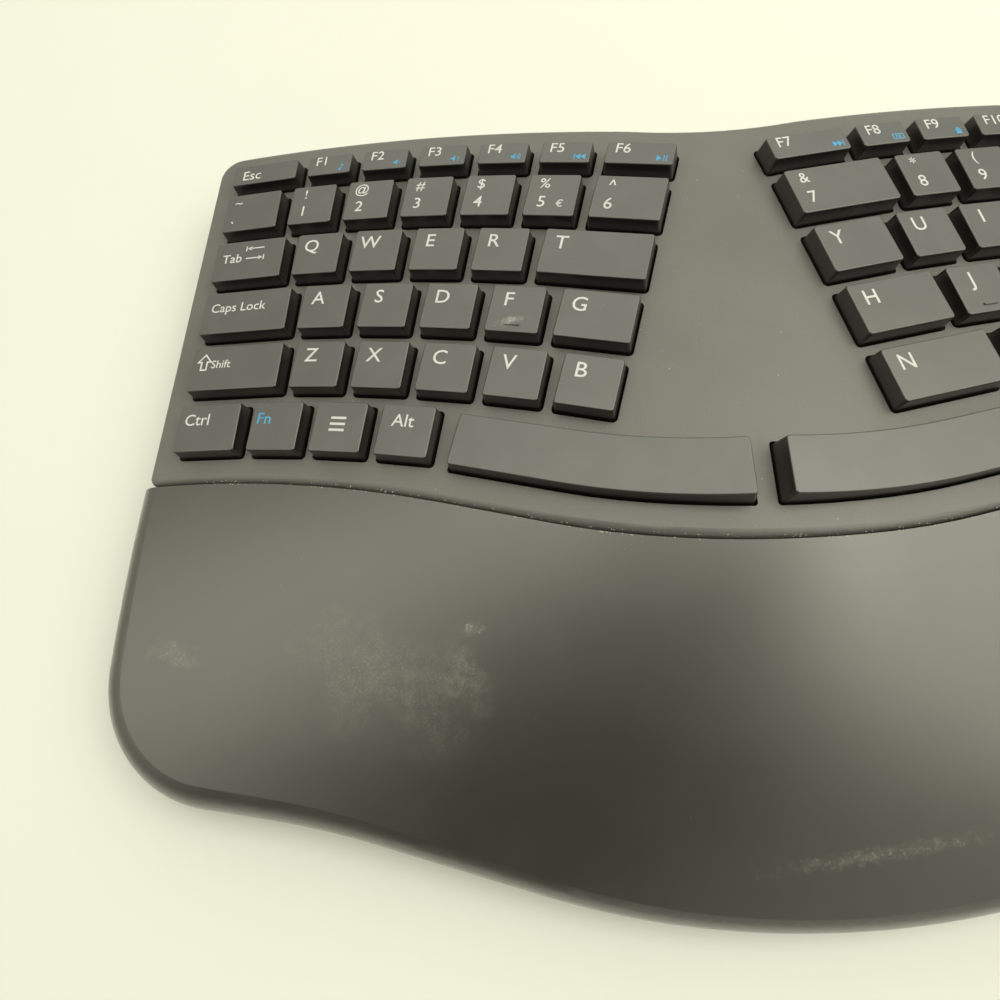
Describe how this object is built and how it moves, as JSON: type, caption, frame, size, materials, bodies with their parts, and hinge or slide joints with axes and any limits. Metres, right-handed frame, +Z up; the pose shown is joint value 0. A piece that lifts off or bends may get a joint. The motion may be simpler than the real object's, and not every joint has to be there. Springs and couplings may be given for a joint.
{
  "type": "ergonomic keyboard",
  "caption": "Full-size split ergonomic keyboard with a tented, curved key deck, a domed soft-touch palm rest and flip-out tilt legs, battery powered.",
  "frame": {"origin": "centre of the footprint, on the table", "axes": "+X to the user's right, along the keyboard; +Y away from the user; +Z up"},
  "size_m": [0.4958, 0.2292, 0.047],
  "materials": {
    "case_plastic": "fine-grained matte, dark grey-brown",
    "base_plastic": "matte, near black",
    "palm_skin": "smooth soft-touch skin",
    "key_plastic": "matte slate-grey top, darker sides",
    "switch_plastic": "satin black",
    "foot_rubber": "matte rubber",
    "guide_plastic": "moulded, matte",
    "dome_rubber": "milky silicone",
    "film": "clear film with printed tracks",
    "plate_steel": "galvanised sheet",
    "board": "green solder mask",
    "cell_jacket": "printed jacket, plain",
    "screw_steel": "zinc plated"
  },
  "bodies": {
    "keyboard": {"backing_plate": "plate_steel", "battery_cells": "cell_jacket", "bottom_case": "base_plastic", "case_screws": "screw_steel", "controller_board": "board", "dome_sheet": "dome_rubber", "key_guide_frame": "guide_plastic", "membrane_circuit": "film", "palm_rest": "palm_skin", "rubber_feet": "foot_rubber", "top_case": "case_plastic"},
    "tilt_leg_left": {"tilt_leg_left": "base_plastic"},
    "tilt_leg_right": {"tilt_leg_right": "base_plastic"},
    "battery_door": {"battery_door": "base_plastic"},
    "power_switch": {"power_switch": "switch_plastic"},
    "key_f6": {"key_f6": "key_plastic"},
    "key_f5": {"key_f5": "key_plastic"},
    "key_f4": {"key_f4": "key_plastic"},
    "key_f3": {"key_f3": "key_plastic"},
    "key_f2": {"key_f2": "key_plastic"},
    "key_f1": {"key_f1": "key_plastic"},
    "key_esc": {"key_esc": "key_plastic"},
    "key_6": {"key_6": "key_plastic"},
    "key_5": {"key_5": "key_plastic"},
    "key_4": {"key_4": "key_plastic"},
    "key_3": {"key_3": "key_plastic"},
    "key_2": {"key_2": "key_plastic"},
    "key_1": {"key_1": "key_plastic"},
    "key_tilde": {"key_tilde": "key_plastic"},
    "key_t": {"key_t": "key_plastic"},
    "key_r": {"key_r": "key_plastic"},
    "key_e": {"key_e": "key_plastic"},
    "key_w": {"key_w": "key_plastic"},
    "key_q": {"key_q": "key_plastic"},
    "key_tab": {"key_tab": "key_plastic"},
    "key_g": {"key_g": "key_plastic"},
    "key_f": {"key_f": "key_plastic"},
    "key_d": {"key_d": "key_plastic"},
    "key_s": {"key_s": "key_plastic"},
    "key_a": {"key_a": "key_plastic"},
    "key_caps_lock": {"key_caps_lock": "key_plastic"},
    "key_b": {"key_b": "key_plastic"},
    "key_v": {"key_v": "key_plastic"},
    "key_c": {"key_c": "key_plastic"},
    "key_x": {"key_x": "key_plastic"},
    "key_z": {"key_z": "key_plastic"},
    "key_shift": {"key_shift": "key_plastic"},
    "key_alt": {"key_alt": "key_plastic"},
    "key_menu": {"key_menu": "key_plastic"},
    "key_fn": {"key_fn": "key_plastic"},
    "key_ctrl": {"key_ctrl": "key_plastic"},
    "key_space_left": {"key_space_left": "key_plastic"},
    "key_space_right": {"key_space_right": "key_plastic"},
    "function_keys_right": {"function_keys_right": "key_plastic"},
    "number_keys_right": {"number_keys_right": "key_plastic"},
    "top_letter_keys_right": {"top_letter_keys_right": "key_plastic"},
    "home_letter_keys_right": {"home_letter_keys_right": "key_plastic"},
    "bottom_keys_right": {"bottom_keys_right": "key_plastic"},
    "navigation_keys": {"navigation_keys": "key_plastic"},
    "number_pad_keys": {"number_pad_keys": "key_plastic"}
  },
  "joints": [
    {"name": "tilt_leg_left_hinge", "type": "hinge", "parent": "keyboard", "child": "tilt_leg_left", "pos_m": [-0.19938, 0.09061, 0.0034], "axis": [1, 0, 0], "range_deg": [0, 90]},
    {"name": "tilt_leg_right_hinge", "type": "hinge", "parent": "keyboard", "child": "tilt_leg_right", "pos_m": [0.19938, 0.09061, 0.0034], "axis": [1, 0, 0], "range_deg": [0, 90]},
    {"name": "battery_door_slide", "type": "slide", "parent": "keyboard", "child": "battery_door", "axis": [1, 0, 0], "range_m": [0, 0.006]},
    {"name": "power_switch_slide", "type": "slide", "parent": "keyboard", "child": "power_switch", "axis": [1, 0, 0], "range_m": [0, 0.004]},
    {"name": "key_f6_press", "type": "slide", "parent": "keyboard", "child": "key_f6", "axis": [0.1374, 0, -0.9905], "range_m": [0, 0.0025], "stiffness_N_per_m": 180, "springref_m": -0.001},
    {"name": "key_f5_press", "type": "slide", "parent": "keyboard", "child": "key_f5", "axis": [0.1374, 0, -0.9905], "range_m": [0, 0.0025], "stiffness_N_per_m": 180, "springref_m": -0.001},
    {"name": "key_f4_press", "type": "slide", "parent": "keyboard", "child": "key_f4", "axis": [0.1374, 0, -0.9905], "range_m": [0, 0.0025], "stiffness_N_per_m": 180, "springref_m": -0.001},
    {"name": "key_f3_press", "type": "slide", "parent": "keyboard", "child": "key_f3", "axis": [0.1374, 0, -0.9905], "range_m": [0, 0.0025], "stiffness_N_per_m": 180, "springref_m": -0.001},
    {"name": "key_f2_press", "type": "slide", "parent": "keyboard", "child": "key_f2", "axis": [0.1374, 0, -0.9905], "range_m": [0, 0.0025], "stiffness_N_per_m": 180, "springref_m": -0.001},
    {"name": "key_f1_press", "type": "slide", "parent": "keyboard", "child": "key_f1", "axis": [0.1374, 0, -0.9905], "range_m": [0, 0.0025], "stiffness_N_per_m": 180, "springref_m": -0.001},
    {"name": "key_esc_press", "type": "slide", "parent": "keyboard", "child": "key_esc", "axis": [0.1374, 0, -0.9905], "range_m": [0, 0.0025], "stiffness_N_per_m": 180, "springref_m": -0.001},
    {"name": "key_6_press", "type": "slide", "parent": "keyboard", "child": "key_6", "axis": [0.1374, 0, -0.9905], "range_m": [0, 0.0025], "stiffness_N_per_m": 180, "springref_m": -0.001},
    {"name": "key_5_press", "type": "slide", "parent": "keyboard", "child": "key_5", "axis": [0.1374, 0, -0.9905], "range_m": [0, 0.0025], "stiffness_N_per_m": 180, "springref_m": -0.001},
    {"name": "key_4_press", "type": "slide", "parent": "keyboard", "child": "key_4", "axis": [0.1374, 0, -0.9905], "range_m": [0, 0.0025], "stiffness_N_per_m": 180, "springref_m": -0.001},
    {"name": "key_3_press", "type": "slide", "parent": "keyboard", "child": "key_3", "axis": [0.1374, 0, -0.9905], "range_m": [0, 0.0025], "stiffness_N_per_m": 180, "springref_m": -0.001},
    {"name": "key_2_press", "type": "slide", "parent": "keyboard", "child": "key_2", "axis": [0.1374, 0, -0.9905], "range_m": [0, 0.0025], "stiffness_N_per_m": 180, "springref_m": -0.001},
    {"name": "key_1_press", "type": "slide", "parent": "keyboard", "child": "key_1", "axis": [0.1374, 0, -0.9905], "range_m": [0, 0.0025], "stiffness_N_per_m": 180, "springref_m": -0.001},
    {"name": "key_tilde_press", "type": "slide", "parent": "keyboard", "child": "key_tilde", "axis": [0.1374, 0, -0.9905], "range_m": [0, 0.0025], "stiffness_N_per_m": 180, "springref_m": -0.001},
    {"name": "key_t_press", "type": "slide", "parent": "keyboard", "child": "key_t", "axis": [0.1374, 0, -0.9905], "range_m": [0, 0.0025], "stiffness_N_per_m": 180, "springref_m": -0.001},
    {"name": "key_r_press", "type": "slide", "parent": "keyboard", "child": "key_r", "axis": [0.1374, 0, -0.9905], "range_m": [0, 0.0025], "stiffness_N_per_m": 180, "springref_m": -0.001},
    {"name": "key_e_press", "type": "slide", "parent": "keyboard", "child": "key_e", "axis": [0.1374, 0, -0.9905], "range_m": [0, 0.0025], "stiffness_N_per_m": 180, "springref_m": -0.001},
    {"name": "key_w_press", "type": "slide", "parent": "keyboard", "child": "key_w", "axis": [0.1374, 0, -0.9905], "range_m": [0, 0.0025], "stiffness_N_per_m": 180, "springref_m": -0.001},
    {"name": "key_q_press", "type": "slide", "parent": "keyboard", "child": "key_q", "axis": [0.1374, 0, -0.9905], "range_m": [0, 0.0025], "stiffness_N_per_m": 180, "springref_m": -0.001},
    {"name": "key_tab_press", "type": "slide", "parent": "keyboard", "child": "key_tab", "axis": [0.1374, 0, -0.9905], "range_m": [0, 0.0025], "stiffness_N_per_m": 180, "springref_m": -0.001},
    {"name": "key_g_press", "type": "slide", "parent": "keyboard", "child": "key_g", "axis": [0.1374, 0, -0.9905], "range_m": [0, 0.0025], "stiffness_N_per_m": 180, "springref_m": -0.001},
    {"name": "key_f_press", "type": "slide", "parent": "keyboard", "child": "key_f", "axis": [0.1374, 0, -0.9905], "range_m": [0, 0.0025], "stiffness_N_per_m": 180, "springref_m": -0.001},
    {"name": "key_d_press", "type": "slide", "parent": "keyboard", "child": "key_d", "axis": [0.1374, 0, -0.9905], "range_m": [0, 0.0025], "stiffness_N_per_m": 180, "springref_m": -0.001},
    {"name": "key_s_press", "type": "slide", "parent": "keyboard", "child": "key_s", "axis": [0.1374, 0, -0.9905], "range_m": [0, 0.0025], "stiffness_N_per_m": 180, "springref_m": -0.001},
    {"name": "key_a_press", "type": "slide", "parent": "keyboard", "child": "key_a", "axis": [0.1374, 0, -0.9905], "range_m": [0, 0.0025], "stiffness_N_per_m": 180, "springref_m": -0.001},
    {"name": "key_caps_lock_press", "type": "slide", "parent": "keyboard", "child": "key_caps_lock", "axis": [0.1374, 0, -0.9905], "range_m": [0, 0.0025], "stiffness_N_per_m": 180, "springref_m": -0.001},
    {"name": "key_b_press", "type": "slide", "parent": "keyboard", "child": "key_b", "axis": [0.1374, 0, -0.9905], "range_m": [0, 0.0025], "stiffness_N_per_m": 180, "springref_m": -0.001},
    {"name": "key_v_press", "type": "slide", "parent": "keyboard", "child": "key_v", "axis": [0.1374, 0, -0.9905], "range_m": [0, 0.0025], "stiffness_N_per_m": 180, "springref_m": -0.001},
    {"name": "key_c_press", "type": "slide", "parent": "keyboard", "child": "key_c", "axis": [0.1374, 0, -0.9905], "range_m": [0, 0.0025], "stiffness_N_per_m": 180, "springref_m": -0.001},
    {"name": "key_x_press", "type": "slide", "parent": "keyboard", "child": "key_x", "axis": [0.1374, 0, -0.9905], "range_m": [0, 0.0025], "stiffness_N_per_m": 180, "springref_m": -0.001},
    {"name": "key_z_press", "type": "slide", "parent": "keyboard", "child": "key_z", "axis": [0.1374, 0, -0.9905], "range_m": [0, 0.0025], "stiffness_N_per_m": 180, "springref_m": -0.001},
    {"name": "key_shift_press", "type": "slide", "parent": "keyboard", "child": "key_shift", "axis": [0.1374, 0, -0.9905], "range_m": [0, 0.0025], "stiffness_N_per_m": 180, "springref_m": -0.001},
    {"name": "key_alt_press", "type": "slide", "parent": "keyboard", "child": "key_alt", "axis": [0.1374, 0, -0.9905], "range_m": [0, 0.0025], "stiffness_N_per_m": 180, "springref_m": -0.001},
    {"name": "key_menu_press", "type": "slide", "parent": "keyboard", "child": "key_menu", "axis": [0.1374, 0, -0.9905], "range_m": [0, 0.0025], "stiffness_N_per_m": 180, "springref_m": -0.001},
    {"name": "key_fn_press", "type": "slide", "parent": "keyboard", "child": "key_fn", "axis": [0.1374, 0, -0.9905], "range_m": [0, 0.0025], "stiffness_N_per_m": 180, "springref_m": -0.001},
    {"name": "key_ctrl_press", "type": "slide", "parent": "keyboard", "child": "key_ctrl", "axis": [0.1374, 0, -0.9905], "range_m": [0, 0.0025], "stiffness_N_per_m": 180, "springref_m": -0.001},
    {"name": "key_space_left_press", "type": "slide", "parent": "keyboard", "child": "key_space_left", "axis": [0.1374, 0, -0.9905], "range_m": [0, 0.0025], "stiffness_N_per_m": 180, "springref_m": -0.001},
    {"name": "key_space_right_press", "type": "slide", "parent": "keyboard", "child": "key_space_right", "axis": [-0.1374, 0, -0.9905], "range_m": [0, 0.0025], "stiffness_N_per_m": 180, "springref_m": -0.001},
    {"name": "function_keys_right_press", "type": "slide", "parent": "keyboard", "child": "function_keys_right", "axis": [-0.1374, 0, -0.9905], "range_m": [0, 0.0025], "stiffness_N_per_m": 900, "springref_m": -0.001},
    {"name": "number_keys_right_press", "type": "slide", "parent": "keyboard", "child": "number_keys_right", "axis": [-0.1374, 0, -0.9905], "range_m": [0, 0.0025], "stiffness_N_per_m": 900, "springref_m": -0.001},
    {"name": "top_letter_keys_right_press", "type": "slide", "parent": "keyboard", "child": "top_letter_keys_right", "axis": [-0.1374, 0, -0.9905], "range_m": [0, 0.0025], "stiffness_N_per_m": 900, "springref_m": -0.001},
    {"name": "home_letter_keys_right_press", "type": "slide", "parent": "keyboard", "child": "home_letter_keys_right", "axis": [-0.1374, 0, -0.9905], "range_m": [0, 0.0025], "stiffness_N_per_m": 900, "springref_m": -0.001},
    {"name": "bottom_keys_right_press", "type": "slide", "parent": "keyboard", "child": "bottom_keys_right", "axis": [-0.1374, 0, -0.9905], "range_m": [0, 0.0025], "stiffness_N_per_m": 900, "springref_m": -0.001},
    {"name": "navigation_keys_press", "type": "slide", "parent": "keyboard", "child": "navigation_keys", "axis": [0, 0, -1], "range_m": [0, 0.0025], "stiffness_N_per_m": 900, "springref_m": -0.001},
    {"name": "number_pad_keys_press", "type": "slide", "parent": "keyboard", "child": "number_pad_keys", "axis": [0, 0, -1], "range_m": [0, 0.0025], "stiffness_N_per_m": 900, "springref_m": -0.001}
  ]
}
